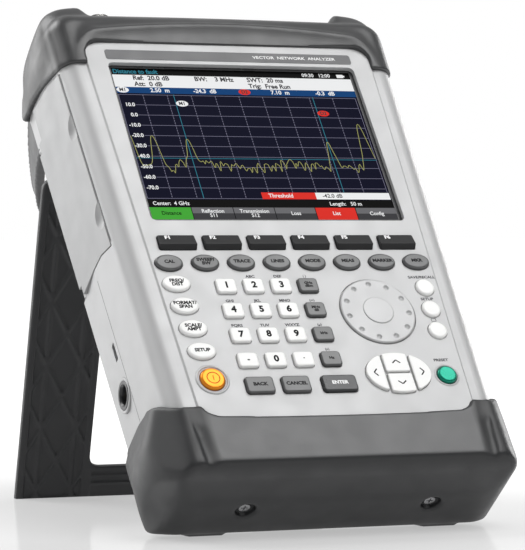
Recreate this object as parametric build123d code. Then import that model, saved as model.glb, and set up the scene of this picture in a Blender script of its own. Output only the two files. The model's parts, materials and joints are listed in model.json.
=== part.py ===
from build123d import *
import math
import os

# Handheld vector network analyzer standing on its fold-out rear stand.
#
# Every piece is drawn in the instrument's own frame: x to the right across the
# panel, y up along the panel, z out of the panel towards the user, with the
# centre of the display at x = y = 0 and the panel face at z = 0.  At the end
# the whole instrument is leaned back and set down on the plane Z = 0.

# ---------------------------------------------------------------- dimensions
LEAN = 39.0  # panel tilt back from the vertical, on the stand
HEIGHT_TOP = 97.0  # top of the two corner ears
HEIGHT_BOTTOM = -203.8  # chin of the bottom boot
WIDTH = 194.0  # over the boots
BACK = -64.0  # rear face of the rear shell
BOOT_BACK = -69.0  # rear face of the boots, flush with the folded stand
HANDLE_BACK = -142.0  # rearmost point of the carry handle

HANDLE_THICKNESS = 6.0  # of the bow, seen along the panel
HANDLE_CORNER = 18.0
HANDLE_ROOT_X = 90.3  # half widths of the bow at the shell, half way down its arms, and at the bar
HANDLE_ARM_X = 80.2
HANDLE_ARM_Z = -105.0
HANDLE_BAR_X = 66.0

SHELL_HALF_HIGH = 92.0  # half width of the shells at SHELL_Y_HIGH
SHELL_HALF_LOW = 84.5  # half width of the shells at SHELL_Y_LOW
SHELL_Y_HIGH = 60.0
SHELL_Y_LOW = -165.0
SHELL_TOP = 86.0  # deck that carries the test ports
SHELL_BOTTOM = -182.0
SHELL_WALL = 2.4
PARTING = -37.0  # plane between the front and the rear shell
SHELL_CORNER = 12.0
RIM_RADIUS = 9.0  # round edge between the panel and the sides
PLATEAU = 0.8  # the panel stands this far above the round edge
REAR_SLOPE = ((68.0, -66.0), (86.0, -49.0))  # y, z along the sloping rear top edge of the shells
REAR_DRAFT = 2.0  # how much each side of the rear shell draws in

PANEL_TOP = 64.5
PANEL_BOTTOM = -171.6
PANEL_HALF_HIGH = 79.3  # half width of the flat panel at its top
PANEL_HALF_LOW = 70.5  # half width of the flat panel at its bottom
PANEL_CORNER = 7.0

LCD_WIDTH = 132.5  # active area of a 6.5 inch 4:3 display
LCD_HEIGHT = 99.4
WINDOW_WIDTH = 136.4
WINDOW_HEIGHT = 103.4
WINDOW_Y = -0.7
WINDOW_CORNER = 3.0
LENS_THICKNESS = 1.0
LCD_THICKNESS = 6.5
LENS_MARGIN = 2.8  # how far the lens reaches behind the window's edge
LCD_FRAME = 3.5  # metal frame round the active area

KEY_GAP = 0.25  # clearance between a key and its hole
SOFTKEY_FILLET = 0.35

SOFTKEY_PITCH = 23.45
SOFTKEY_WIDTH = 19.2
SOFTKEY_TOP = -62.6
SOFTKEY_BOTTOM = -71.0
SOFTKEY_REAR_RISE = 1.2  # a softkey's top slopes up towards the user, to a crest
SOFTKEY_CREST_Y = -69.2
SOFTKEY_CREST = 2.6
OVAL_WIDTH = 14.2
OVAL_HEIGHT = 9.6
MODE_PITCH = 18.8  # row of eight oval keys
MODE_Y = -79.4
SIDE_PITCH_Y = 13.5  # column of four white oval keys
SIDE_X = -64.9
SIDE_Y = -92.1
SIDE_STEP_X = 1.05  # the column follows the tapering edge of the panel
DIGIT_X = -39.8
DIGIT_Y = -94.0
DIGIT_PITCH_X = 14.33
DIGIT_PITCH_Y = 14.85
DIGIT_WIDTH = 10.2
DIGIT_HEIGHT = 8.4
ACTION_Y = -153.1
ACTION_HEIGHT = 9.4
ROUND_RADIUS = 4.9
POWER_AT = (-60.2, -148.9)
POWER_RADIUS = 6.2
PRESET_AT = (61.8, -149.2)
PRESET_RADIUS = 5.0
CURSOR_AT = (36.3, -147.6)  # four cursor keys that share one oval outline
CURSOR_HALF_X = 17.0
CURSOR_HALF_Y = 11.7
CURSOR_SPLIT_X = 7.0
CURSOR_GAP = 1.3
WHEEL_AT = (36.2, -110.0)
WHEEL_RADIUS = 19.4
WHEEL_RISE = 1.1
WHEEL_HUB_RADIUS = 7.9
WHEEL_DIMPLES = 11
WHEEL_DIMPLE_RING = 16.3
WHEEL_SHAFT = 3.0

STAND_HINGE_Y = 37.2
STAND_HINGE_Z = -66.6
STAND_OPEN = 55.2  # degrees between the open stand and the back
STAND_HALF = 88.0
STAND_THICKNESS = 4.4
STAND_LEG = 40.0  # width of each leg
STAND_LENGTH = 187.9  # hinge axis to the floor edge
STAND_BAR = 22.5  # height of the bar that joins the legs at the floor
STAND_HEAD = 42.0  # height of the plate below the hinge
STAND_PIN = 2.0
FIT = 0.05  # radial clearance of a running fit

COVER_THICKNESS = 2.4
COVER_GAP = 0.4
COVER_PIN = 1.4
POCKET_DEPTH = 11.0

FLOOR_CLEARANCE = 1.3  # boot above the floor, the thickness of its feet
HEEL = (-203.2, -48.5)  # y, z where the boot's underside turns along the floor
FOOT_X = (51.5, 70.6)  # each foot, across and front to back from the heel
FOOT_RUN = (2.6, 14.1)

BATTERY_HALF = 45.0
BATTERY_LOW = -146.0
BATTERY_HIGH = -74.0
BATTERY_DEPTH = 17.0

JACK_Y, JACK_Z = -124.0, -46.0  # power jack on the left side
JACK_BORE = 6.9
JACK_RING = 8.8
JACK_DEPTH = 16.0
SLOT_Y, SLOT_Z = -100.6, -42.5  # security slot on the left side

N_THREAD = 7.9  # radius of the 5/8 inch thread of an N type port
N_TOP = 98.4
N_PORTS = ((-57.6, -22.0), (45.0, -38.0))  # x, z of the two ports
BNC_RADIUS = 4.8
BNC_PORTS = ((-8.0, -38.0), (14.0, -38.0))
AUX_AT = (-31.0, -38.0)  # round socket for a power sensor
AUX_RADIUS = 6.0

SCREW_X, SCREW_Z = 48.0, -30.0  # chin screws
SCREW_RADIUS = 2.8
SCREW_RECESS = 4.8

SHELL_SLOPE = (SHELL_HALF_HIGH - SHELL_HALF_LOW) / (SHELL_Y_HIGH - SHELL_Y_LOW)
PAD_CORNER = 1.7  # corners of the rectangular keys
KEY_LIP = 0.8  # width and thickness of the lip that keeps a key in
DIGIT_NAMES = (
    ("digit_1", "digit_2", "digit_3", "unit_key_1"),
    ("digit_4", "digit_5", "digit_6", "unit_key_2"),
    ("digit_7", "digit_8", "digit_9", "unit_key_3"),
    ("point_key", "digit_0", "sign_key", "unit_key_4"),
)
ACTION_KEYS = (("back_key", -37.4, 14.3), ("cancel_key", -18.8, 14.3), ("enter_key", 3.6, 17.9))
CURSOR_KEYS = (
    ("cursor_up", 0, 1), ("cursor_down", 0, -1), ("cursor_left", -1, 0), ("cursor_right", 1, 0),
)
ROUND_KEYS = (("save_key", 65.9, -95.7), ("setup_key", 65.3, -109.1), ("capture_key", 64.9, -122.3))

WHEEL_FIRST_DIMPLE = 92.5  # degrees from the panel's x axis
WHEEL_SHAFT_END = -13.5
MAT_THICKNESS = 1.5
BOARD = 1.6
KEYPAD_BOARD = -6.6  # front face of the keypad board
MAIN_BOARD = -29.0  # front face of the main board
POST_RADIUS = 2.5
BOARD_OUTLINE = ((-67, -168), (67, -168), (70, -59), (-70, -59))  # keypad board and mat
KEYPAD_POST_X = 51.0
KEYPAD_POST_YS = (-163.0, -88.0)
MAIN_POST_X = 66.0
MAIN_POST_YS = (-155.0, 66.0)

STAND_LUG = (70.4, 79.0)  # inner and outer face of each bearing block
STAND_LUG_REACH = 6.0  # the plate starts this far below the hinge axis
STAND_FLANGE = 3.6  # plain edge round each leg's ribbed field
STAND_POCKET = 1.6
STAND_RIB_X = 9.7

COVER_LOW = -54.0
COVER_HIGH = 43.4
COVER_FRONT = -10.0
COVER_REAR = -66.0  # the recess is open to the back, where the cover turns
COVER_TAB = -52.0  # above the hinge the cover is shorter, clear of the carry handle
COVER_PIVOT_X = 3.9
COVER_PIVOT_Z = -59.6
COVER_BARREL = 2.6
COVER_LUG = 5.0
COVER_PROUD = 0.3
COVER_THUMBS = (17.0, -40.0)

DECK_HALF = 67.7  # the boot is open between its ears, behind a front lip
DECK_LIP = -11.8

SIN = math.sin(math.radians(LEAN))
COS = math.cos(math.radians(LEAN))
FLOOR = HEEL[0] * COS + HEEL[1] * SIN - FLOOR_CLEARANCE


# ------------------------------------------------------------------- helpers
def half_width(y, inset=0.0):
    """Half width of the shells at height y along the panel."""
    return SHELL_HALF_LOW + SHELL_SLOPE * (y - SHELL_Y_LOW) - inset


def drawn(points):
    """A face from its corner points."""
    return make_face(Polyline(*points, close=True))


def outline(z, inset, top):
    """The shells' tapering outline as a face at height z, drawn in by an inset."""
    low, high = SHELL_BOTTOM + inset, top - inset
    right = [(half_width(low, inset), low), (half_width(high, inset), high)]
    left = [(-x, y) for x, y in reversed(right)]
    face = drawn(right + left)
    return Plane.XY.offset(z) * fillet(face.vertices(), SHELL_CORNER - inset)


def panel_face(z, grow=0.0):
    """The flat panel's outline, round at its corners."""
    right = [(PANEL_HALF_LOW + grow, PANEL_BOTTOM - grow), (PANEL_HALF_HIGH + grow, PANEL_TOP + grow)]
    left = [(-x, y) for x, y in reversed(right)]
    face = drawn(right + left)
    return Plane.XY.offset(z) * fillet(face.vertices(), PANEL_CORNER + grow)


def slab(x0, x1, y0, y1, z0, z1):
    """A box between two corners."""
    return Pos((x0 + x1) / 2, (y0 + y1) / 2, (z0 + z1) / 2) * Box(x1 - x0, y1 - y0, z1 - z0)


def drum(x, y, radius, z0, z1):
    """A cylinder along z."""
    return Pos(x, y, (z0 + z1) / 2) * Cylinder(radius, z1 - z0)


def along_x(radius, x0, x1, y, z):
    """A cylinder along x."""
    return Pos((x0 + x1) / 2, y, z) * Rot(0, 90, 0) * Cylinder(radius, x1 - x0)


def along_y(radius, x, y0, y1, z):
    """A cylinder along y."""
    return Pos(x, (y0 + y1) / 2, z) * Rot(90, 0, 0) * Cylinder(radius, y1 - y0)


def side_cut(points, half):
    """A (y, z) outline drawn through the whole width."""
    frame = Plane(origin=(-half, 0, 0), x_dir=(0, 1, 0), z_dir=(1, 0, 0))
    return extrude(frame * drawn(points), 2 * half)


def level_cut(face, y0, y1):
    """An (x, z) face drawn along y."""
    frame = Plane(origin=(0, y1, 0), x_dir=(1, 0, 0), z_dir=(0, -1, 0))
    return extrude(frame * face, y1 - y0)


def whole(half_points):
    """A closed outline from its right half, which starts and ends at x = 0."""
    return half_points + [(-x, y) for x, y in reversed(half_points[1:-1])]


def both_sides(shape):
    return shape + mirror(shape, about=Plane.YZ)


def over_floor(x0, x1, back0, back1, up0, up1):
    """A box lined up with the floor: back is away from the user, up is above the floor."""
    block = slab(x0, x1, back0, back1, FLOOR + up0, FLOOR + up1)
    return Rot(LEAN - 90, 0, 0) * block


# ---------------------------------------------------------------------- keys
def oval(x, y, grow):
    return Pos(x, y) * Ellipse(OVAL_WIDTH / 2 + grow, OVAL_HEIGHT / 2 + grow)


def pad(x, y, width, height, grow):
    size = (width + 2 * grow, height + 2 * grow)
    return Pos(x, y) * RectangleRounded(*size, PAD_CORNER + grow)


def disc(x, y, radius, grow):
    return Pos(x, y) * Circle(radius + grow)


def cursor(side_x, side_y, grow):
    """One of the four cursor keys, cut from the oval that they share."""
    ring = Ellipse(CURSOR_HALF_X + grow, CURSOR_HALF_Y + grow)
    edge = CURSOR_SPLIT_X - CURSOR_GAP / 2 + grow
    if side_x:
        near = CURSOR_SPLIT_X + CURSOR_GAP / 2 - grow
        window = Pos(side_x * (near + 20), 0) * Rectangle(40, 40)
    else:
        near = CURSOR_GAP / 2 - grow
        window = Pos(0, side_y * (near + 20)) * Rectangle(2 * edge, 40)
    key = ring & window
    return Pos(*CURSOR_AT) * fillet(key.vertices(), 1.0)


def softkey(x, grow):
    middle = (SOFTKEY_TOP + SOFTKEY_BOTTOM) / 2
    height = SOFTKEY_TOP - SOFTKEY_BOTTOM
    return Pos(x, middle) * RectangleRounded(SOFTKEY_WIDTH + 2 * grow, height + 2 * grow, 0.8 + grow)


def key_outlines():
    """Name, outline as a function of how much it grows, rise above the panel, and edge radius."""
    keys = []
    for i in range(6):
        x = (i - 2.5) * SOFTKEY_PITCH
        keys.append((f"softkey_{i + 1}", lambda g, x=x: softkey(x, g), SOFTKEY_CREST, SOFTKEY_FILLET))
    for i in range(8):
        x = (i - 3.5) * MODE_PITCH
        keys.append((f"mode_key_{i + 1}", lambda g, x=x: oval(x, MODE_Y, g), 1.8, 1.2))
    for i in range(4):
        x, y = SIDE_X + SIDE_STEP_X * i, SIDE_Y - SIDE_PITCH_Y * i
        keys.append((f"side_key_{i + 1}", lambda g, x=x, y=y: oval(x, y, g), 1.8, 1.2))
    for row, names in enumerate(DIGIT_NAMES):
        for column, name in enumerate(names):
            x, y = DIGIT_X + DIGIT_PITCH_X * column, DIGIT_Y - DIGIT_PITCH_Y * row
            shape = lambda g, x=x, y=y: pad(x, y, DIGIT_WIDTH, DIGIT_HEIGHT, g)
            keys.append((name, shape, 1.8, 0.8))
    for name, x, width in ACTION_KEYS:
        shape = lambda g, x=x, width=width: pad(x, ACTION_Y, width, ACTION_HEIGHT, g)
        keys.append((name, shape, 1.8, 0.9))
    for name, sx, sy in CURSOR_KEYS:
        keys.append((name, lambda g, sx=sx, sy=sy: cursor(sx, sy, min(g, 0.45)), 1.6, 0.5))
    for name, x, y in ROUND_KEYS:
        keys.append((name, lambda g, x=x, y=y: disc(x, y, ROUND_RADIUS, g), 1.6, 1.2))
    keys.append(("preset_key", lambda g: disc(*PRESET_AT, PRESET_RADIUS, g), 1.8, 1.4))
    keys.append(("power_key", lambda g: disc(*POWER_AT, POWER_RADIUS, g), 1.8, 1.4))
    return keys


def key_cap(shape, rise, soft):
    """A cap that stands through the panel, with a lip behind it that keeps it in."""
    cap = extrude(Plane.XY.offset(-SHELL_WALL - 0.2) * shape(0), SHELL_WALL + 0.2 + rise)
    cap = fillet(cap.faces().sort_by(Axis.Z)[-1].edges(), soft)
    lip = extrude(Plane.XY.offset(-SHELL_WALL - 0.2 - KEY_LIP) * shape(KEY_LIP), KEY_LIP)
    return cap + lip


def softkey_cap(shape):
    """A cap whose top climbs to a crest near its lower edge, with the same lip behind it."""
    base = -SHELL_WALL - 0.2
    wedge = [
        (SOFTKEY_TOP + 1, base), (SOFTKEY_TOP, SOFTKEY_REAR_RISE), (SOFTKEY_CREST_Y, SOFTKEY_CREST),
        (SOFTKEY_BOTTOM, 0), (SOFTKEY_BOTTOM - 1, base),
    ]
    cap = extrude(Plane.XY.offset(base) * shape(0), SOFTKEY_CREST + 1 - base) & side_cut(wedge, WIDTH / 2)
    upper = cap.edges().filter_by(lambda edge: edge.center().Z > SOFTKEY_REAR_RISE - 0.1)
    cap = fillet(upper, SOFTKEY_FILLET)
    lip = extrude(Plane.XY.offset(base - KEY_LIP) * shape(KEY_LIP), KEY_LIP)
    return cap + lip


def jog_wheel():
    """Rotary wheel with finger dimples, on a shaft that turns in the encoder."""
    x, y = WHEEL_AT
    wheel = drum(x, y, WHEEL_RADIUS, -0.7, WHEEL_RISE)
    wheel = fillet(wheel.faces().sort_by(Axis.Z)[-1].edges(), 0.8)
    hub = drum(x, y, WHEEL_HUB_RADIUS, WHEEL_RISE - 1, WHEEL_RISE + 0.5)
    wheel += fillet(hub.faces().sort_by(Axis.Z)[-1].edges(), 0.45)
    for i in range(WHEEL_DIMPLES):
        angle = math.radians(WHEEL_FIRST_DIMPLE + 360 * i / WHEEL_DIMPLES)
        spot = (x + WHEEL_DIMPLE_RING * math.cos(angle), y + WHEEL_DIMPLE_RING * math.sin(angle))
        wheel -= Pos(*spot, WHEEL_RISE + 0.9) * Sphere(1.7)
    return wheel + drum(x, y, WHEEL_SHAFT, WHEEL_SHAFT_END, 0)


# -------------------------------------------------------------------- shells
def shell_envelope(inset=0.0):
    """The closed form of both shells, or of the space inside them."""
    top = -max(PLATEAU, inset)
    front = extrude(outline(PARTING, inset, SHELL_TOP), top - PARTING)
    front = fillet(front.faces().sort_by(Axis.Z)[-1].edges(), RIM_RADIUS - inset)
    back = outline(BACK + inset, REAR_DRAFT + inset, SHELL_TOP + REAR_DRAFT)
    form = front + loft([outline(PARTING, inset, SHELL_TOP), back])
    (low_y, low_z), (high_y, high_z) = REAR_SLOPE
    length = math.hypot(high_y - low_y, high_z - low_z)
    along_slope = ((high_y - low_y) / length, (high_z - low_z) / length)
    shift = (-inset * along_slope[1], inset * along_slope[0])
    start = (low_y - 10 * along_slope[0] + shift[0], low_z - 10 * along_slope[1] + shift[1])
    end = (high_y + 10 * along_slope[0] + shift[0], high_z + 10 * along_slope[1] + shift[1])
    return form - side_cut([start, (end[0], start[1]), end], 100)


def plateau():
    """The panel's slightly raised field."""
    return loft([panel_face(-PLATEAU, PLATEAU), panel_face(0)])


def cover_frame():
    """The left side's own frame: x into the body, y up along the sloping side."""
    tilt = math.degrees(math.atan(SHELL_SLOPE))
    return Location((-half_width(0), 0, 0), (0, 0, tilt))


def cover_plate(grow, x0, x1):
    """The cover's outline on the side, from x0 to x1: its upper edge follows the top boot."""
    face = drawn([
        (COVER_LOW, COVER_PIVOT_Z), (COVER_HIGH, COVER_PIVOT_Z), (COVER_HIGH, COVER_TAB),
        (63.2, COVER_TAB), (58.6, -30), (50.8, COVER_FRONT), (COVER_LOW - 6, COVER_FRONT),
        (COVER_LOW - 1, -24), (COVER_LOW, -37),
    ])
    face = offset(face, grow) if grow else face
    return extrude(Plane(origin=(x0, 0, 0), x_dir=(0, 1, 0), z_dir=(1, 0, 0)) * face, x1 - x0)


def socket_pocket():
    """The recess in the left side: a shallow seat for the cover, and the sockets' space behind it."""
    seat = cover_plate(COVER_GAP, -4, COVER_THICKNESS)
    return seat + slab(-4, POCKET_DEPTH, COVER_LOW, COVER_HIGH, COVER_REAR, COVER_FRONT - 3)


def pocket_lining():
    """Walls round the recess that keep it apart from the electronics."""
    wall = SHELL_WALL
    block = slab(
        1, POCKET_DEPTH + wall, COVER_LOW - wall, COVER_HIGH + wall,
        COVER_REAR - wall, COVER_FRONT - 3 + wall,
    )
    block += cover_plate(wall, 1, COVER_THICKNESS + wall)
    return (cover_frame() * block) & shell_envelope()


def cover_lugs():
    """Two lugs in the recess, bored for the cover's hinge pins."""
    lugs = []
    for y in (COVER_LOW, COVER_HIGH - COVER_LUG):
        lug = along_y(COVER_BARREL, COVER_PIVOT_X, y, y + COVER_LUG, COVER_PIVOT_Z)
        lug += slab(
            COVER_PIVOT_X, POCKET_DEPTH + 1, y, y + COVER_LUG,
            COVER_PIVOT_Z - COVER_BARREL, COVER_PIVOT_Z + COVER_BARREL,
        )
        lugs.append(lug)
    bore = along_y(COVER_PIN + FIT, COVER_PIVOT_X, COVER_LOW + 1, COVER_HIGH - 1, COVER_PIVOT_Z)
    return [cover_frame() * (lug - bore) for lug in lugs]


def stand_lug():
    """Bearing block for one end of the stand's hinge."""
    low, high = STAND_HINGE_Y - 4.2, STAND_HINGE_Y + 4.2
    block = slab(*STAND_LUG, low, high, STAND_HINGE_Z - 4.0, BACK + SHELL_WALL)
    bore = along_x(STAND_PIN + FIT, STAND_LUG[0] - 1, STAND_LUG[1] - 1, STAND_HINGE_Y, STAND_HINGE_Z)
    return block - bore


def port_holes():
    """Holes in the deck that the ports stand in."""
    low, high = SHELL_TOP - SHELL_WALL - 2, SHELL_TOP + 2
    spots = [(x, z, N_THREAD) for x, z in N_PORTS]
    spots += [(x, z, BNC_RADIUS) for x, z in BNC_PORTS]
    spots.append((*AUX_AT, AUX_RADIUS))
    return [along_y(radius, x, low, high, z) for x, z, radius in spots]


def battery_room(gap):
    """The battery's space, or with a gap of zero the pack itself."""
    return slab(
        -BATTERY_HALF - gap, BATTERY_HALF + gap, BATTERY_LOW - gap, BATTERY_HIGH + gap,
        BACK, BACK + BATTERY_DEPTH,
    )


def screw_posts(z0, z1, ys, x):
    """Posts that carry a circuit board near its corners."""
    return [drum(sx * x, y, POST_RADIUS, z0, z1) for y in ys for sx in (-1, 1)]


def shells(keys):
    """The front and the rear shell, parted at the middle of the sides."""
    body = shell_envelope() + plateau() - shell_envelope(SHELL_WALL)
    body += pocket_lining()
    body -= [cover_frame() * socket_pocket()] + port_holes()

    front = body & slab(-WIDTH, WIDTH, -300, 300, PARTING, 50)
    window = Pos(0, WINDOW_Y, -2) * extrude(
        RectangleRounded(WINDOW_WIDTH, WINDOW_HEIGHT, WINDOW_CORNER), 4, both=True
    )
    holes = [extrude(Plane.XY.offset(-4) * key[1](KEY_GAP), 8) for key in keys]
    holes.append(drum(*WHEEL_AT, WHEEL_RADIUS + 0.5, -1.0, 1))
    holes.append(drum(*WHEEL_AT, WHEEL_SHAFT + 0.6, -5, 1))
    front -= [window] + holes
    front += screw_posts(KEYPAD_BOARD, -SHELL_WALL, KEYPAD_POST_YS, KEYPAD_POST_X)

    rear = body & slab(-WIDTH, WIDTH, -300, 300, -200, PARTING)
    wall = SHELL_WALL
    well = slab(
        -BATTERY_HALF - wall, BATTERY_HALF + wall, BATTERY_LOW - wall, BATTERY_HIGH + wall,
        BACK, BACK + BATTERY_DEPTH + wall,
    )
    rear += well
    side = half_width(JACK_Y) - 1.4
    rear += slab(-side + 4, -side + JACK_DEPTH + wall, JACK_Y - 12, JACK_Y + 12, BACK + 1, PARTING)
    rear += slab(-side + 4, -side + 14, SLOT_Y - 8, SLOT_Y + 8, BACK + 1, PARTING)
    rear -= battery_room(0)
    rear -= along_x(JACK_RING, -side - 5, -side + JACK_DEPTH, JACK_Y, JACK_Z)
    rear -= slab(-side - 5, -side + 10, SLOT_Y - 5, SLOT_Y + 5, SLOT_Z - 1.8, SLOT_Z + 1.8)
    groove = STAND_THICKNESS / 2 + 0.5
    rear -= along_x(groove, -STAND_LUG[0], STAND_LUG[0], STAND_HINGE_Y, STAND_HINGE_Z)
    rear += [stand_lug(), mirror(stand_lug(), about=Plane.YZ)] + cover_lugs()
    rear += screw_posts(BACK + 1, MAIN_BOARD - BOARD, MAIN_POST_YS, MAIN_POST_X)
    return front, rear


# --------------------------------------------------------------------- boots
def top_boot():
    """Soft corner guard over the upper end, with an ear at each corner."""
    side = [
        (49.5, 1.8), (73.5, 3.2), (84.0, -1.5), (92.0, -6.0), (HEIGHT_TOP, -9.0), (HEIGHT_TOP, -24.0),
        (95.0, -32.0), (91.0, -40.0), (86.5, -49.0), (79.0, -57.5), (71.0, -64.5), (65.0, BOOT_BACK),
        (64.0, BOOT_BACK), (64.0, -50.0), (60.0, -30.0), (51.5, -8.0),
    ]
    front = [
        (0, 40), (93, 40), (94, 60), (WIDTH / 2, 72), (WIDTH / 2, 79), (95, 88.5), (89, 94.5),
        (79, HEIGHT_TOP), (72, HEIGHT_TOP), (68, 92.5), (0, 92.5),
    ]
    level = [
        (0, 4), (80, 4), (91, -2.5), (WIDTH / 2, -14), (WIDTH / 2, -36), (95, -49), (92.5, -60),
        (89, -66), (82, BOOT_BACK), (0, BOOT_BACK),
    ]
    boot = side_cut(side, WIDTH / 2)
    boot &= extrude(Plane.XY.offset(-90) * drawn(whole(front)), 100)
    boot &= level_cut(drawn(whole(level)), 30, 110)
    boot -= extrude(panel_face(0), 10)
    boot -= slab(-PANEL_HALF_HIGH, PANEL_HALF_HIGH, 30, PANEL_TOP - PANEL_CORNER, 0, 10)
    boot -= slab(-DECK_HALF, DECK_HALF, SHELL_TOP, 110, BOOT_BACK - 1, DECK_LIP)
    return boot - shell_envelope() - plateau() - cover_frame() * socket_pocket()


def bottom_boot():
    """Soft guard over the lower end, with two feet that meet the floor."""
    run = (HEEL[1] - BOOT_BACK) / COS
    side = [
        (-152, BOOT_BACK), (-149, -58), (-148, -36), (-158, -8), (-164, 1.8), (-195.6, 1.8), (-200.2, -4),
        (HEIGHT_BOTTOM, -22), (HEIGHT_BOTTOM, -45), HEEL, (HEEL[0] + run * SIN, BOOT_BACK),
    ]
    front = [
        (0, -130), (86, -130), (87, -148), (96, -175), (96, -185), (91, -195), (84, -201.5),
        (76, HEIGHT_BOTTOM), (0, HEIGHT_BOTTOM),
    ]
    level = [
        (0, 4), (72, 4), (80, 1.5), (89, -7.5), (94, -16), (96, -26), (96, -36), (93.5, -46), (89, -56),
        (83, -64), (74, BOOT_BACK), (0, BOOT_BACK),
    ]
    boot = side_cut(side, WIDTH / 2)
    boot &= extrude(Plane.XY.offset(-90) * drawn(whole(front)), 100)
    boot &= level_cut(drawn(whole(level)), -215, -130)
    boot -= extrude(panel_face(0), 10)
    boot -= shell_envelope() + plateau()
    heel = HEEL[0] * SIN - HEEL[1] * COS
    foot = over_floor(*FOOT_X, heel + FOOT_RUN[0], heel + FOOT_RUN[1], 0, FLOOR_CLEARANCE + 0.5)
    boot += both_sides(foot)
    recess = along_y(SCREW_RECESS, SCREW_X, HEIGHT_BOTTOM - 1, HEIGHT_BOTTOM + 3, SCREW_Z)
    recess += along_y(SCREW_RADIUS, SCREW_X, HEIGHT_BOTTOM, HEIGHT_BOTTOM + 5, SCREW_Z)
    return boot - both_sides(recess)


def boot_screws():
    """Two cross-head screws that hold the bottom boot."""
    head = along_y(SCREW_RADIUS, SCREW_X, HEIGHT_BOTTOM + 2.2, HEIGHT_BOTTOM + 5, SCREW_Z)
    head -= Pos(SCREW_X, HEIGHT_BOTTOM + 2.2, SCREW_Z) * (Box(3.6, 1.6, 0.7) + Box(0.7, 1.6, 3.6))
    return [head, mirror(head, about=Plane.YZ)]


# -------------------------------------------------------------- carry handle
def bow_face(inset, root):
    """The bow's outline seen along the panel, drawn in by an inset."""
    end, middle = (HANDLE_ROOT_X - inset, root), (HANDLE_ARM_X - inset, HANDLE_ARM_Z)
    bar = HANDLE_BAR_X - inset
    back = HANDLE_BACK + inset
    right = ThreePointArc((bar, back), middle, end)
    left = ThreePointArc((-end[0], end[1]), (-middle[0], middle[1]), (-bar, back))
    bow = make_face([right, Line(end, (-end[0], end[1])), left, Line((-bar, back), (bar, back))])
    return fillet(bow.vertices().sort_by(Axis.Y)[:2], HANDLE_CORNER - inset)


def carry_handle():
    """Fixed bow across the back: two tapering arms and a grip bar."""
    root = BACK + 3
    bow = level_cut(bow_face(0, root), 38, 80) - level_cut(bow_face(HANDLE_THICKNESS, root), 30, 90)
    side = [(44, root), (76, root), (69, -100), (68, HANDLE_BACK), (54, HANDLE_BACK), (52, -104)]
    return (bow & side_cut(side, 100)) - shell_envelope()


# --------------------------------------------------------------------- stand
def stand():
    """Folding stand, drawn hanging down from its hinge and then opened onto the floor."""
    t = STAND_THICKNESS
    plate_top = STAND_LUG_REACH
    frame = slab(-STAND_HALF, STAND_HALF, -STAND_LENGTH - 8, -plate_top, -t / 2, t / 2)
    corners = frame.edges().filter_by(Axis.Z)
    frame = fillet(corners, 5)
    low, high = -STAND_LENGTH + STAND_BAR, -STAND_HEAD
    inner = STAND_HALF - STAND_LEG
    window = Pos(0, (low + high) / 2) * RectangleRounded(2 * inner, high - low, 5)
    frame -= extrude(Plane.XY * window, t, both=True)
    blade = frame
    for side in (-1, 1):
        middle = side * (STAND_HALF - STAND_LEG / 2)
        half = STAND_LEG / 2 - STAND_FLANGE
        low, high = -STAND_LENGTH + 6, -STAND_HEAD / 2
        pocket = (middle - half, middle + half, low, high, t / 2 - STAND_POCKET, t)
        blade -= slab(*pocket)
        for x in (-STAND_RIB_X, STAND_RIB_X):
            blade += slab(
                middle + x - 0.7, middle + x + 0.7, -STAND_LENGTH + 5, -STAND_HEAD / 2 + 1,
                t / 2 - STAND_POCKET - 0.5, t / 2 - 0.4,
            )
    neck = STAND_LUG[0] - 0.5
    blade += slab(-neck, neck, -plate_top - 1, 0, -t / 2, t / 2)
    blade += along_x(t / 2, -neck, neck, 0, 0)
    blade += both_sides(along_x(STAND_PIN, neck - 1, STAND_LUG[1] - 1.5, 0, 0))
    blade = Pos(0, STAND_HINGE_Y, STAND_HINGE_Z) * Rot(STAND_OPEN, 0, 0) * blade
    return blade - over_floor(-200, 200, -300, 300, -60, 0)


# ---------------------------------------------------------------- side cover
def connector_cover():
    """Hinged cover over the side sockets, with two thumb recesses at its free edge."""
    face = -COVER_PROUD
    plate = cover_plate(0, face, face + COVER_THICKNESS)
    barrel = along_y(COVER_BARREL - 0.1, COVER_PIVOT_X, COVER_LOW + 1, COVER_HIGH - 1, COVER_PIVOT_Z)
    cover = plate + barrel
    reach = COVER_BARREL + 0.5
    for y in (COVER_LOW, COVER_HIGH - COVER_LUG):
        cover -= slab(
            face - 1, 9, y - 0.3, y + COVER_LUG + 0.3, COVER_PIVOT_Z - reach, COVER_PIVOT_Z + reach
        )
    for y in COVER_THUMBS:
        cover -= Pos(face - 12, y, COVER_FRONT - 1) * Sphere(14)
    pin_end = COVER_GAP + 1.6
    cover += along_y(COVER_PIN, COVER_PIVOT_X, COVER_LOW + pin_end, COVER_HIGH - pin_end, COVER_PIVOT_Z)
    return cover_frame() * cover


# ------------------------------------------------------------ display, boards
def display_module():
    """Display with its lens bonded on, seated behind the window."""
    lens_top = -SHELL_WALL
    lens = Pos(0, WINDOW_Y, lens_top - LENS_THICKNESS / 2) * Box(
        WINDOW_WIDTH + 2 * LENS_MARGIN, WINDOW_HEIGHT + 2 * LENS_MARGIN, LENS_THICKNESS
    )
    block = Pos(0, 0, lens_top - LENS_THICKNESS - LCD_THICKNESS / 2) * Box(
        LCD_WIDTH + 2 * LCD_FRAME, LCD_HEIGHT + 2 * LCD_FRAME, LCD_THICKNESS
    )
    return lens + block


def keypad_mat():
    """Silicone mat under the keys, open for the wheel's shaft."""
    sheet = drawn(BOARD_OUTLINE)
    mat = extrude(Plane.XY.offset(KEYPAD_BOARD) * sheet, MAT_THICKNESS)
    for y in KEYPAD_POST_YS:
        mat -= both_sides(drum(KEYPAD_POST_X, y, POST_RADIUS + 0.5, -12, 0))
    return mat - drum(*WHEEL_AT, WHEEL_SHAFT + 1.5, -12, 0)


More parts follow.
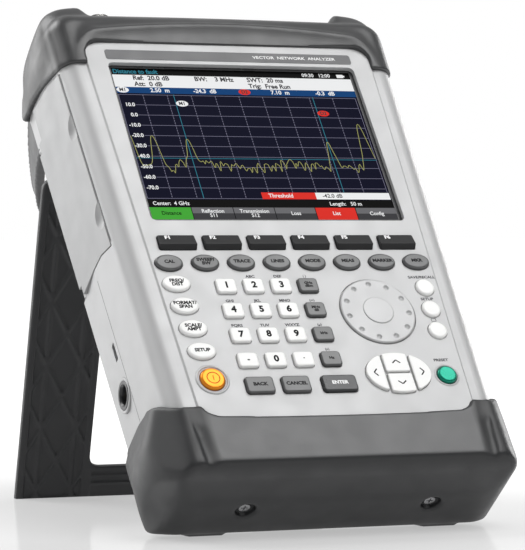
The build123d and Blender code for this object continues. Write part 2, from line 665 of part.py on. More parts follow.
def circuit_boards():
    """Keypad board with the wheel's encoder, main board, and the shielded radio module."""
    sheet = drawn(BOARD_OUTLINE)
    keypad = extrude(Plane.XY.offset(KEYPAD_BOARD - BOARD) * sheet, BOARD)
    encoder = Pos(*WHEEL_AT, KEYPAD_BOARD - BOARD - 4) * Box(14, 14, 8)
    bore = drum(*WHEEL_AT, WHEEL_SHAFT + FIT, WHEEL_SHAFT_END - 1, 0)
    keypad = keypad + encoder - bore
    main = slab(-70, 72, -160, 72, MAIN_BOARD - BOARD, MAIN_BOARD)
    main += slab(-30, 60, -50, 58, MAIN_BOARD, MAIN_BOARD + 9)
    return [keypad, main]


def connectors():
    """Test ports on the deck, and the power jack in the left side."""
    deck = SHELL_TOP
    parts = []
    for x, z in N_PORTS:
        port = along_y(N_THREAD, x, deck - 12, N_TOP, z) + along_y(9.8, x, deck, deck + 1.6, z)
        port -= along_y(6.1, x, N_TOP - 8.5, N_TOP + 1, z)
        parts.append(port + along_y(1.5, x, N_TOP - 9, N_TOP - 3, z))
    for x, z in BNC_PORTS:
        port = along_y(BNC_RADIUS, x, deck - 10, deck + 10, z) + along_y(7, x, deck, deck + 1.4, z)
        port -= along_y(3.9, x, deck + 3.5, deck + 11, z)
        parts.append(port + along_y(1.1, x, deck + 3, deck + 9, z))
    x, z = AUX_AT
    socket = along_y(AUX_RADIUS, x, deck - 8, deck + 4, z) + along_y(8.2, x, deck, deck + 1.4, z)
    parts.append(socket - along_y(4.6, x, deck - 4, deck + 5, z))
    side = half_width(JACK_Y) - 1.4
    jack = along_x(JACK_RING, -side, -side + JACK_DEPTH, JACK_Y, JACK_Z)
    parts.append(jack - along_x(JACK_BORE, -side - 1, -side + JACK_DEPTH - 4, JACK_Y, JACK_Z))
    return parts


# ------------------------------------------------------------------ assembly
def assembly():
    """Every node as a list of solids in the instrument's frame."""
    keys = key_outlines()
    front, rear = shells(keys)
    nodes = {
        "front_shell": [front],
        "rear_shell": [rear],
        "top_boot": [top_boot() - carry_handle()],
        "bottom_boot": [bottom_boot()],
        "carry_handle": [carry_handle()],
        "stand": [stand()],
        "connector_cover": [connector_cover()],
        "jog_wheel": [jog_wheel()],
        "display_module": [display_module()],
        "keypad_mat": [keypad_mat()],
        "circuit_boards": circuit_boards(),
        "battery_pack": [battery_room(0)],
        "connectors": connectors(),
        "boot_screws": boot_screws(),
    }
    for name, shape, rise, soft in keys:
        cap = softkey_cap(shape) if name.startswith("softkey") else key_cap(shape, rise, soft)
        nodes[name] = [cap]
    return nodes


def set_down(nodes):
    """Lean every node back, and centre the object over the origin on the floor."""
    lean = Pos(0, 0, -FLOOR) * Rot(90 - LEAN, 0, 0)
    leaned = {}
    for name, parts in nodes.items():
        leaned[name] = Compound([solid for part in parts for solid in (lean * part).solids()])
    box = Compound(list(leaned.values())).bounding_box()
    shift = Pos(0, -(box.min.Y + box.max.Y) / 2, 0)
    print(f"shifted by {shift.position.Y:.4f} mm, box {box.size}, lowest {box.min.Z:.4f}")
    return {name: shift * shape for name, shape in leaned.items()}


def main():
    os.makedirs("parts", exist_ok=True)
    for name, shape in set_down(assembly()).items():
        export_step(shape, f"parts/{name}.step")


if __name__ == "__main__":
    main()
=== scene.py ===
"""Looks of the handheld vector network analyzer on its fold-out stand.

Pieces are drawn in the instrument's own frame, in millimetres: x to the right
across the panel, y up along the panel, z out of the panel towards the user,
with the display's centre at x = y = 0 and the panel's face at z = 0.
"""
import json
import math

import bpy
import numpy as np
from mathutils import Matrix, Vector


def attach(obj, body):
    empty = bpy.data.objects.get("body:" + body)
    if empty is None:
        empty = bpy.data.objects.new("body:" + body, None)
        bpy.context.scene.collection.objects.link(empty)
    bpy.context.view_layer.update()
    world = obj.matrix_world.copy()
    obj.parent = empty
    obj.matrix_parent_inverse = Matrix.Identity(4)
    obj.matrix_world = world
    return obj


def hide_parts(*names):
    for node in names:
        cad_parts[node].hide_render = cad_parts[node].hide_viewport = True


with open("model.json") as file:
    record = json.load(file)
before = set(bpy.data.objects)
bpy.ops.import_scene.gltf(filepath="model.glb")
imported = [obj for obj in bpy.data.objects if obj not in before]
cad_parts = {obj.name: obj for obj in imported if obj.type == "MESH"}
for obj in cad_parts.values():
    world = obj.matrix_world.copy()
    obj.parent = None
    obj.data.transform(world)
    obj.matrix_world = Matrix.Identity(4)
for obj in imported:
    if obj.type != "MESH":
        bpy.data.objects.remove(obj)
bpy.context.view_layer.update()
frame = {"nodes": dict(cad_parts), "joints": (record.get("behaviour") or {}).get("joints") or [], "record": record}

# ------------------------------------------------------------ the instrument's frame
MM = 0.001
WHEEL_AT = (36.2, -110.0)
joints = {joint["name"]: joint for joint in frame["joints"]}
OUT = Vector(joints["wheel_turn"]["axis"])
RIGHT = Vector((1, 0, 0))
UP = OUT.cross(RIGHT)
ORIGIN = Vector(joints["wheel_turn"]["pos_m"]) - MM * (WHEEL_AT[0] * RIGHT + WHEEL_AT[1] * UP)
TO_WORLD = Matrix.Translation(ORIGIN) @ Matrix((MM * RIGHT, MM * UP, MM * OUT)).transposed().to_4x4()
TO_PANEL = TO_WORLD.inverted()

CASE = "case"  # the body that all fixed pieces ride on
SIDE_HALF = 90.0  # half width of the shells at the display's centre
SIDE_SLOPE = 1 / 30  # growth of that half width with y
SHELL_END = -182.0  # lower end of the shells, inside the boot
SHELL_REAR = -64.0
PANEL_TOP, PANEL_BOTTOM = 64.5, -171.6
PANEL_HALF, PANEL_SLOPE = 76.9, 0.0373  # half width at y = 0, and its growth with y
DECK = 86.0  # upper end of the shells, which carries the test ports
PARTING = -37.0  # between the front and the rear shell
COVER_EDGE = -10.0  # front edge of the socket cover
BOOT_BACK = -69.0
HEEL = (-203.2, -48.5)  # where the boot's underside turns along the floor
UNDERSIDE = -203.8  # the lower boot's lowest y
FAR = -300.0  # well beyond the middle, for outlines that are mirrored there
HINGE = TO_PANEL @ Vector(joints["stand_hinge"]["pos_m"])
STAND_OPEN = math.radians(55.2)
N_PORTS = ((-57.6, -22.0), (45.0, -38.0))  # (x, z) on the deck
BNC_PORTS = ((-8.0, -38.0), (14.0, -38.0))
SENSOR_SOCKET = (-31.0, -38.0)
JACK_Y, JACK_Z = -124.0, -46.0  # power jack in the left side
SCREW_X, SCREW_Z = 48.0, -29.5  # screws in the lower boot's underside
FOOT_X = 61.0


# ------------------------------------------------------------------- materials
def shader(name):
    """A new material with its node tree and principled shader."""
    made = bpy.data.materials.new(name)
    made.use_nodes = True
    return made, made.node_tree, made.node_tree.nodes["Principled BSDF"]


def noise(tree, scale, detail=3.0):
    """Noise in the piece's own coordinates, so that it moves with the piece."""
    place = tree.nodes.new("ShaderNodeTexCoord")
    grain = tree.nodes.new("ShaderNodeTexNoise")
    grain.inputs["Scale"].default_value = scale
    grain.inputs["Detail"].default_value = detail
    tree.links.new(place.outputs["Object"], grain.inputs["Vector"])
    return grain


def spread(tree, source, low, high):
    """Maps noise to a range of values."""
    ranged = tree.nodes.new("ShaderNodeMapRange")
    ranged.inputs["From Min"].default_value = 0.3
    ranged.inputs["From Max"].default_value = 0.7
    ranged.inputs["To Min"].default_value = low
    ranged.inputs["To Max"].default_value = high
    tree.links.new(source.outputs["Fac"], ranged.inputs["Value"])
    return ranged.outputs["Result"]


def tint(tree, shade, colour, variation, scale):
    """Colour with a slow variation over the surface."""
    mix = tree.nodes.new("ShaderNodeMix")
    mix.data_type = "RGBA"
    darker = [channel * (1 - variation) for channel in colour]
    lighter = [min(1, channel * (1 + variation)) for channel in colour]
    mix.inputs["A"].default_value = (*darker, 1)
    mix.inputs["B"].default_value = (*lighter, 1)
    tree.links.new(noise(tree, scale).outputs["Fac"], mix.inputs["Factor"])
    tree.links.new(mix.outputs["Result"], shade.inputs["Base Color"])


def relief(tree, shade, scale, depth, soft_edge):
    """Fine surface grain, over edges that are rounded by a small radius."""
    bump = tree.nodes.new("ShaderNodeBump")
    bump.inputs["Strength"].default_value = 1.0
    bump.inputs["Distance"].default_value = depth
    tree.links.new(noise(tree, scale, 4).outputs["Fac"], bump.inputs["Height"])
    if soft_edge:
        edge = tree.nodes.new("ShaderNodeBevel")
        edge.samples = 6
        edge.inputs["Radius"].default_value = soft_edge
        tree.links.new(edge.outputs["Normal"], bump.inputs["Normal"])
    tree.links.new(bump.outputs["Normal"], shade.inputs["Normal"])


def uneven_gloss(tree, shade, scale, low, high):
    tree.links.new(spread(tree, noise(tree, scale), low, high), shade.inputs["Roughness"])


def moulded(name, colour, roughness, grain=2200.0, depth=0.00001, soft_edge=0.0004, coat=0.0,
            metallic=0.0, specular=0.5):
    """Moulded plastic, paint or rubber: grain, a slow tint and uneven gloss."""
    made, tree, shade = shader(name)
    tint(tree, shade, colour, 0.03, 35)
    uneven_gloss(tree, shade, 90, roughness - 0.05, roughness + 0.05)
    relief(tree, shade, grain, depth, soft_edge)
    shade.inputs["Metallic"].default_value = metallic
    shade.inputs["Specular IOR Level"].default_value = specular
    shade.inputs["Coat Weight"].default_value = coat
    shade.inputs["Coat Roughness"].default_value = 0.12
    return made


BAND_END = 0.067  # half length of the band, which is grained and painted lighter as a painted sheen, in metres


def banded(name, base, band):
    """Rubber whose flat band below the panel is more deeply grained than the rest, and lighter than the rest by a
    painted sheen where it faces out.
    """
    made, tree, shade = shader(name)
    place = tree.nodes.new("ShaderNodeTexCoord")
    # mask of the painted sheen: faces turned out, in the middle of the band
    facing = tree.nodes.new("ShaderNodeVectorMath")
    facing.operation = "DOT_PRODUCT"
    facing.inputs[1].default_value = OUT
    tree.links.new(place.outputs["Normal"], facing.inputs[0])
    flat = tree.nodes.new("ShaderNodeMapRange")
    flat.inputs["From Min"].default_value = 0.93
    flat.inputs["From Max"].default_value = 0.995
    tree.links.new(facing.outputs["Value"], flat.inputs["Value"])
    split = tree.nodes.new("ShaderNodeSeparateXYZ")
    tree.links.new(place.outputs["Object"], split.inputs["Vector"])
    across = tree.nodes.new("ShaderNodeMath")
    across.operation = "ABSOLUTE"
    tree.links.new(split.outputs["X"], across.inputs[0])
    middle = tree.nodes.new("ShaderNodeMapRange")
    middle.inputs["From Min"].default_value = BAND_END + 0.004
    middle.inputs["From Max"].default_value = BAND_END
    tree.links.new(across.outputs["Value"], middle.inputs["Value"])
    # this mask paints the sheen into the colour and also deepens the band's grain
    both = tree.nodes.new("ShaderNodeMath")
    both.operation = "MULTIPLY"
    tree.links.new(flat.outputs["Result"], both.inputs[0])
    tree.links.new(middle.outputs["Result"], both.inputs[1])
    # painted sheen: where the band faces out, its colour is mixed towards a lighter grey that stands in for the
    # reflection of the light above
    mix = tree.nodes.new("ShaderNodeMix")
    mix.data_type = "RGBA"
    mix.inputs["A"].default_value = (*base, 1)
    mix.inputs["B"].default_value = (*band, 1)
    tree.links.new(both.outputs["Value"], mix.inputs["Factor"])
    tree.links.new(mix.outputs["Result"], shade.inputs["Base Color"])
    uneven_gloss(tree, shade, 90, 0.42, 0.52)
    bump = tree.nodes.new("ShaderNodeBump")
    bump.inputs["Distance"].default_value = 0.00006
    tree.links.new(noise(tree, 900, 4).outputs["Fac"], bump.inputs["Height"])
    tree.links.new(both.outputs["Value"], bump.inputs["Strength"])
    tree.links.new(bump.outputs["Normal"], shade.inputs["Normal"])
    return made


def glowing(name, colour, strength=0.75):
    """Display colour: lit from behind under a glossy lens."""
    made, tree, shade = shader(name)
    tint(tree, shade, [channel * 0.12 for channel in colour], 0.03, 300)
    shade.inputs["Roughness"].default_value = 0.3
    shade.inputs["Specular IOR Level"].default_value = 0.02
    shade.inputs["Emission Color"].default_value = (*colour, 1)
    shade.inputs["Emission Strength"].default_value = strength
    return made


def metal(name, colour, roughness):
    made, tree, shade = shader(name)
    tint(tree, shade, colour, 0.05, 120)
    uneven_gloss(tree, shade, 900, roughness - 0.06, roughness + 0.06)
    relief(tree, shade, 2600, 0.000004, 0.0002)
    shade.inputs["Metallic"].default_value = 1.0
    return made


SHELL = moulded("shell_plastic", (0.44, 0.442, 0.445), 0.42, metallic=0.2)
COVER = moulded("cover_plastic", (0.31, 0.312, 0.315), 0.42, metallic=0.15)
BOOT_COLOUR = (0.018, 0.0187, 0.02)
COARSE = {"grain": 1500, "depth": 0.00002, "soft_edge": 0.0}
BOOT = moulded("boot_rubber", BOOT_COLOUR, 0.40, specular=0.7, **COARSE)
# the lower boot's band is grained, and painted lighter as a painted sheen
BOOT_GRAINED_PAINTED_SHEEN = banded("boot_painted_sheen_band", BOOT_COLOUR, (0.11, 0.111, 0.113))
HANDLE = moulded("handle_rubber", (0.05, 0.051, 0.053), 0.45, **COARSE)
STAND = moulded("stand_plastic", (0.022, 0.0225, 0.024), 0.52, grain=1700, depth=0.00002, soft_edge=0.0)
WHEEL = moulded("wheel_plastic", (0.44, 0.442, 0.445), 0.40, metallic=0.2)
KEY_BLACK = moulded("key_black", (0.012, 0.012, 0.013), 0.38, soft_edge=0.0002, specular=0.28)
KEY_DARK = moulded("key_dark", (0.035, 0.036, 0.038), 0.30, soft_edge=0.0003, metallic=0.2)
KEY_GREY = moulded("key_grey", (0.10, 0.101, 0.102), 0.34, soft_edge=0.0003, metallic=0.35)
KEY_WHITE = moulded("key_white", (0.80, 0.80, 0.79), 0.34, soft_edge=0.0003, coat=0.3)
KEY_ORANGE = moulded("key_orange", (0.75, 0.24, 0.01), 0.30, soft_edge=0.0003, metallic=0.6)
KEY_GREEN = moulded("key_green", (0.0, 0.22, 0.14), 0.26, soft_edge=0.0003, metallic=0.6)
FLAT = {"depth": 0.000002, "soft_edge": 0.0}
INK = moulded("ink_dark", (0.012, 0.012, 0.013), 0.6, specular=0.1, **FLAT)
INK_GREY = moulded("ink_grey", (0.07, 0.07, 0.075), 0.6, specular=0.1, **FLAT)
INK_WHITE = moulded("ink_white", (0.85, 0.85, 0.85), 0.5, **FLAT)
INK_ORANGE = moulded("ink_orange", (0.16, 0.025, 0.0), 0.5, specular=0.1, **FLAT)
STRIP = moulded("strip_grey", (0.075, 0.076, 0.08), 0.35, soft_edge=0.0001)
BEZEL = moulded("bezel_black", (0.035, 0.035, 0.037), 0.30, soft_edge=0.0001)
SOCKET = moulded("socket_black", (0.018, 0.018, 0.02), 0.35, soft_edge=0.0002)
NICKEL = metal("nickel", (0.72, 0.71, 0.69), 0.24)
GOLD = metal("gold_contact", (0.83, 0.62, 0.25), 0.25)
STEEL = metal("screw_steel", (0.42, 0.42, 0.43), 0.30)
INSULATOR = moulded("insulator", (0.78, 0.77, 0.73), 0.4)

SLOTS = {
    "shell_grey": SHELL, "boot_rubber": BOOT, "handle_grip": HANDLE, "stand_plastic": STAND,
    "wheel_grey": WHEEL, "display": BEZEL, "mat_silicone": BOOT, "board": KEY_GREEN,
    "battery_case": SOCKET, "connector_metal": NICKEL, "screw_steel": STEEL, "key_black": KEY_BLACK,
    "key_grey": KEY_GREY, "key_white": KEY_WHITE, "key_orange": KEY_ORANGE, "key_green": KEY_GREEN,
}
PAINTED = {"connector_cover": COVER, "enter_key": KEY_DARK}


def paint_frame():
    """Every CAD node that stays gets its finished material."""
    for part in frame["record"]["subparts"]:
        node = frame["nodes"][part["node"]]
        made = PAINTED.get(part["node"], SLOTS[part["material_slot"]])
        if not node.data.materials:
            node.data.materials.append(made)
        for i in range(len(node.data.materials)):
            node.data.materials[i] = made


# ----------------------------------------------------------------- mesh making
class Parts:
    """Points and faces of one piece, gathered part by part, each in its own material."""

    def __init__(self):
        self.points = []
        self.faces = []
        self.paint = []

    def add(self, points, faces, paint=0):
        first = len(self.points)
        self.points += [tuple(point) for point in points]
        self.faces += [[first + i for i in face] for face in faces]
        self.paint += [paint] * len(faces)
        return self

    def prism(self, outline, low, high, paint=0):
        """A closed prism over an (x, y) outline that runs counterclockwise."""
        count = len(outline)
        points = [(x, y, low) for x, y in outline] + [(x, y, high) for x, y in outline]
        faces = [list(range(count))[::-1], list(range(count, 2 * count))]
        faces += [[i, (i + 1) % count, count + (i + 1) % count, count + i] for i in range(count)]
        return self.add(points, faces, paint)

    def box(self, x0, x1, y0, y1, low, high, paint=0):
        return self.prism([(x0, y0), (x1, y0), (x1, y1), (x0, y1)], low, high, paint)

    def lathe(self, profile, place, paint=0, steps=48):
        """A closed (radius, height) profile turned about z, then put in place by a matrix."""
        count = len(profile)
        points = []
        for k in range(steps):
            turn = 2 * math.pi * k / steps
            points += [place @ Vector((r * math.cos(turn), r * math.sin(turn), h)) for r, h in profile]
        faces = []
        for k in range(steps):
            here, there = k * count, (k + 1) % steps * count
            for i in range(count):
                following = (i + 1) % count
                faces.append([here + i, there + i, there + following, here + following])
        return self.add(points, faces, paint)


def make(name, parts, materials, body=CASE, angle=35.0, place=TO_WORLD):
    """A piece from its gathered parts, set in the world and riding on its body."""
    mesh = bpy.data.meshes.new(name)
    mesh.from_pydata([tuple(point) for point in parts.points], [], parts.faces)
    for made in materials:
        mesh.materials.append(made)
    mesh.polygons.foreach_set("material_index", parts.paint)
    mesh.transform(place)
    mesh.polygons.foreach_set("use_smooth", [True] * len(mesh.polygons))
    mesh.validate()
    mesh.set_sharp_from_angle(angle=math.radians(angle))
    piece = bpy.data.objects.new(name, mesh)
    bpy.context.scene.collection.objects.link(piece)
    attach(piece, body)
    return piece


def rounded(x0, x1, y0, y1, radius, steps=6):
    """A rectangle's outline with round corners, counterclockwise."""
    outline = []
    corners = ((x1 - radius, y1 - radius, 0), (x0 + radius, y1 - radius, 90))
    corners += ((x0 + radius, y0 + radius, 180), (x1 - radius, y0 + radius, 270))
    for x, y, start in corners:
        for k in range(steps + 1):
            turn = math.radians(start + 90 * k / steps)
            outline.append((x + radius * math.cos(turn), y + radius * math.sin(turn)))
    return outline


def ellipse(x, y, half_x, half_y, steps=28):
    turns = [2 * math.pi * k / steps for k in range(steps)]
    return [(x + half_x * math.cos(turn), y + half_y * math.sin(turn)) for turn in turns]


def stroke(points, width):
    """Quads along a path, as outlines that run counterclockwise."""
    quads = []
    for (x0, y0), (x1, y1) in zip(points, points[1:]):
        length = math.hypot(x1 - x0, y1 - y0)
        side = (-(y1 - y0) / length * width / 2, (x1 - x0) / length * width / 2)
        quads.append([
            (x0 - side[0], y0 - side[1]), (x1 - side[0], y1 - side[1]),
            (x1 + side[0], y1 + side[1]), (x0 + side[0], y0 + side[1]),
        ])
    return quads


def lettering(parts, words, size, x, y, z, paint=0, bold=0.02, align="CENTER", squeeze=1.0, tilt=0.0):
    """Raised print of small thickness, centred on a point."""
    curve = bpy.data.curves.new("lettering", "FONT")
    curve.body = words
    curve.size = size
    curve.align_x = align
    curve.align_y = "CENTER"
    curve.space_line = 0.85
    curve.offset = bold * size
    curve.extrude = 0.015
    curve.resolution_u = 3
    helper = bpy.data.objects.new("lettering", curve)
    bpy.context.scene.collection.objects.link(helper)
    mesh = bpy.data.meshes.new_from_object(helper)
    turned = Matrix.Translation((x, y, z)) @ Matrix.Rotation(tilt, 4, "X")
    place = turned @ Matrix.Diagonal((squeeze, 1, 1, 1))
    parts.add([place @ v.co for v in mesh.vertices], [list(p.vertices) for p in mesh.polygons], paint)
    bpy.data.objects.remove(helper)
    bpy.data.curves.remove(curve)
    bpy.data.meshes.remove(mesh)


# -------------------------------------------------- soft moulded forms from fields
def smax(a, b, soft):
    """Larger of two fields, rounded over where they meet."""
    near = np.maximum(soft - np.abs(a - b), 0) / soft
    return np.maximum(a, b) + near * near * soft / 4


def smin(a, b, soft):
    return -smax(-a, -b, soft)


def ramp(value, low, high):
    """Smooth step from 0 at low to 1 at high."""
    t = np.clip((value - low) / (high - low), 0, 1)
    return t * t * (3 - 2 * t)


def convex(u, v, corners, soft):
    """Field of a convex counterclockwise outline, negative inside; sharper turns are rounded more."""
    field, last = None, 0.0
    for (u0, v0), (u1, v1) in zip(corners, corners[1:] + corners[:1]):
        heading = math.atan2(v1 - v0, u1 - u0)
        edge = (u - u0) * math.sin(heading) - (v - v0) * math.cos(heading)
        turn = abs(math.remainder(heading - last, 2 * math.pi))
        field = edge if field is None else smax(field, edge, max(0.1, soft * min(1.0, turn)))
        last = heading
    return field


def skin(field, low, high, step):
    """Meshes the surface where a field is zero.

    Each cell that the surface crosses gets a point, and each crossed edge a quad round it.
    """
    axes = [np.arange(a, b + s, s) for a, b, s in zip(low, high, step)]
    values = field(*np.meshgrid(*axes, indexing="ij"))
    inside = values < 0
    size = [len(axis) - 1 for axis in axes]
    total = np.zeros((*size, 3))
    crossings = np.zeros(size)

    def at(grid, corner):
        return grid[tuple(slice(c, c + n) for c, n in zip(corner, size))]

    for axis in range(3):
        others = [other for other in range(3) if other != axis]
        for first in (0, 1):
            for second in (0, 1):
                start = [0, 0, 0]
                start[others[0]], start[others[1]] = first, second
                end = list(start)
                end[axis] = 1
                a, b = at(values, start), at(values, end)
                crossed = (a < 0) != (b < 0)
                part = np.where(crossed, a / np.where(crossed, a - b, 1), 0)
                total[..., axis] += part
                total[..., others[0]] += first * crossed
                total[..., others[1]] += second * crossed
                crossings += crossed
    active = crossings > 0
    number = np.full(size, -1)
    number[active] = np.arange(active.sum())
    cells = np.argwhere(active)
    points = (cells + total[active] / crossings[active][:, None]) * np.array(step) + np.array(low)
    faces = []
    for axis in range(3):
        u, v = (axis + 1) % 3, (axis + 2) % 3
        shifted = np.roll(inside, -1, axis)
        crossed = inside != shifted
        edge_slices = [slice(1, -1)] * 3
        edge_slices[axis] = slice(0, -1)
        spots = np.argwhere(crossed[tuple(edge_slices)])
        spots += np.array([0 if k == axis else 1 for k in range(3)])
        leaving = inside[tuple(spots.T)]
        ring = []
        for du, dv in ((-1, -1), (0, -1), (0, 0), (-1, 0)):
            cell = spots.copy()
            cell[:, u] += du
            cell[:, v] += dv
            ring.append(number[tuple(cell.T)])
        quads = np.stack(ring, 1)
        quads[~leaving] = quads[~leaving][:, ::-1]
        faces.append(quads)
    return points, np.concatenate(faces)


def moulding(name, field, low, high, step, materials, body=CASE, place=TO_WORLD):
    """A piece from its field, smooth all over."""
    points, faces = skin(field, low, high, step)
    parts = Parts()
    parts.points, parts.faces, parts.paint = points.tolist(), faces.tolist(), [0] * len(faces)
    return make(name, parts, materials, body, angle=50, place=place)


def panel_field(x, y):
    """Field of the flat panel's outline."""
    sides = np.abs(x) - (PANEL_HALF + PANEL_SLOPE * y)
    ends = np.maximum(y - PANEL_TOP, PANEL_BOTTOM + 0.0003 * x * x - y)
    return smax(sides, ends, 11.0)


def round_max(a, b, radius):
    """Larger of two distances, with a round edge where they meet."""
    outer = np.hypot(np.maximum(a + radius, 0), np.maximum(b + radius, 0))
    return outer + np.minimum(np.maximum(a, b) + radius, 0) - radius


def shell_field(x, y, z, grow):
    """Field of the shells' outer form, grown by a distance."""
    sides = np.abs(x) - (SIDE_HALF + SIDE_SLOPE * y)
    outline = round_max(sides, np.maximum(y - DECK, SHELL_END - y), 12.0)
    slope = (y - DECK) * 0.687 - (z + 49) * 0.727
    return np.maximum(np.maximum(round_max(outline, z, 9.0), SHELL_REAR - z), slope) - grow


# ----------------------------------------------------------------------- boots
def top_boot_field(x, y, z):
    """The upper boot: an arch over the panel's end, an ear at each corner, open over the deck."""
    half = np.abs(x)
    arch = smax(y - (75.9 - 0.0011 * x * x), half - 84.0, 16.0)
    front = convex(half, y, [
        (FAR, 20), (97.4, 20), (97.6, 79), (95.5, 88.5), (89.5, 94.5), (79, 98), (FAR, 98),
    ], 8.0)
    front = smax(front, half - np.interp(y, (50, 60, 72, 80), (93.5, 94.2, 97.3, 97.8)), 2.0)
    rim = smax(front, y - (92.4 + 6.0 * ramp(half, 67.2, 74.0)), 0.5)
    rise = np.maximum(arch, 0) / np.maximum(arch - rim, 4.0)
    crest = z - (4.0 - 12.0 * rise - np.clip(-0.42 * arch, 0, 4.8))
    level = convex(half, z, [
        (FAR, BOOT_BACK), (82, BOOT_BACK), (89, -65.5), (92.5, -60), (95.5, -49), (97.6, -36),
        (98, -18), (93, -6), (FAR, 300),
    ], 9.0)
    back = convex(y, z, [
        (20, 60), (20, BOOT_BACK), (64, BOOT_BACK), (70.5, -64), (79, -57), (87.2, -48), (92, -39),
        (96, -31), (98.5, -22), (98.5, 60),
    ], 6.0)
    body = smax(smax(smax(rim, level, 5.0), crest, 6.0), back, 2.0)
    body = smin(body, np.maximum(shell_field(x, y, z, 1.3), rim), 1.5)
    edge = np.interp(z, (BOOT_BACK, -50, -30, -8, 0), (67, 65.3, 60, 51.5, 50.0)) - y
    body = smax(body, edge, 1.2)
    opening = np.maximum(panel_field(x, y), -0.8 - z)
    deck = smax(smax(half - 67.7, DECK - y, 0.8), z + 11.8, 1.5)
    return smax(smax(body, -opening, 0.5), -np.minimum(deck, shell_field(x, y, z, -1.2)), 0.8)


def bottom_boot_field(x, y, z):
    """The lower boot: a flat band, raised side creases, two feet and two screw recesses."""
    half = np.abs(x)
    band = 70.5 + 0.163 * (y + 164)
    crease = 75.8 + 0.085 * (y + 165.8)
    height = 1.8 - 1.5 * ramp(half, band, crease + 0.3) + 1.3 * ramp(half, crease + 0.3, crease + 2.5)
    front = convex(half, y, [
        (FAR, -216), (48, -216), (85, -201.5), (91, -195), (96, -185), (96.5, -177), (87, -148.5),
        (81, -130), (FAR, -130),
    ], 9.0)
    level = convex(half, z, [
        (FAR, BOOT_BACK), (74, BOOT_BACK), (83, -64), (89.5, -56), (94, -46), (96.5, -36),
        (96.5, -26), (94, -16), (89, -7.5), (80, 3), (FAR, 120),
    ], 9.0)
    side = convex(y, z, [
        HEEL, (-186.4, BOOT_BACK), (-120, BOOT_BACK), (-120, 118), (-200.2, -4), (UNDERSIDE, -22),
        (UNDERSIDE, -45),
    ], 4.0)
    body = smax(smax(smax(front, level, 3.0), side, 2.5), z - height, 2.0)
    body = smin(body, shell_field(x, y, z, 1.3), 1.0)
    run = (y - HEEL[0]) * UP.y + (z - HEEL[1]) * OUT.y
    rise = floor_height(y, z)
    pad = smax(np.abs(half - FOOT_X) - 9.6, np.abs(run - 8.4) - 5.8, 2.0)
    foot = smax(pad, np.maximum(-rise, rise - 9), 0.8)
    body = smin(body, foot, 1.5)
    edge = y - np.interp(z, (BOOT_BACK, -60, -36, -20, -8, 0), (-152, -149, -148, -151.5, -158, -164.5))
    body = smax(body, edge, 1.2)
    opening = np.maximum(panel_field(x, y), -0.8 - z)
    screws = np.maximum(np.hypot(half - SCREW_X, z - SCREW_Z) - 5.0, y + 200.4)
    return smax(smax(body, -opening, 0.5), -np.minimum(screws, shell_field(x, y, z, -1.2)), 0.7)


def boots():
    step = (1.1, 1.0, 1.0)
    top = moulding("corner_boot_top", top_boot_field, (-99, 46, -71), (99, 99, 5), step, [BOOT])
    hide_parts("top_boot")

    bottom = moulding("corner_boot_bottom", bottom_boot_field, (-99, -206, -71), (99, -144, 5), step,
                      [BOOT_GRAINED_PAINTED_SHEEN])
    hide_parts("bottom_boot")


def floor_height(y, z):
    """Height above the floor of a point of the instrument, in millimetres."""
    return (ORIGIN.z / MM) + y * UP.z + z * OUT.z


# ---------------------------------------------------------------- carry handle
def handle_field(x, y, z):
    """A flat bow from side to side behind the upper end, wider at its roots."""
    half = np.abs(x)
    width = 90.3 + (z + 61) * 0.2295 - 0.001913 * (z + 61) * (z + 105)
    outer = smax(half - width, -142 - z, 26.0)
    inner = smax(half - width + 6, -136 - z, 22.0)
    bow = smax(outer, -inner, 2.0)
    low = np.interp(z, (-142, -104, -61), (54, 52, 44))
    high = np.interp(z, (-142, -100, -61), (68, 69, 76))
    middle = (low + high) / 2
    grip = np.abs(y - middle) - (high - low) / 2
    bead = 0.7 * ramp(-grip, 1.6, 3.0)
    return smax(smax(bow + bead, grip, 2.4), z + 61.5, 0.5)


def carry_handle():
    handle = moulding("carry_bow", handle_field, (-94, 40, -144), (94, 79, -60), (1.1, 1.1, 1.1), [HANDLE])
    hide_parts("carry_handle")


# ----------------------------------------------------------------------- stand
STAND_TO_PANEL = Matrix.Translation(HINGE) @ Matrix.Rotation(STAND_OPEN, 4, "X")


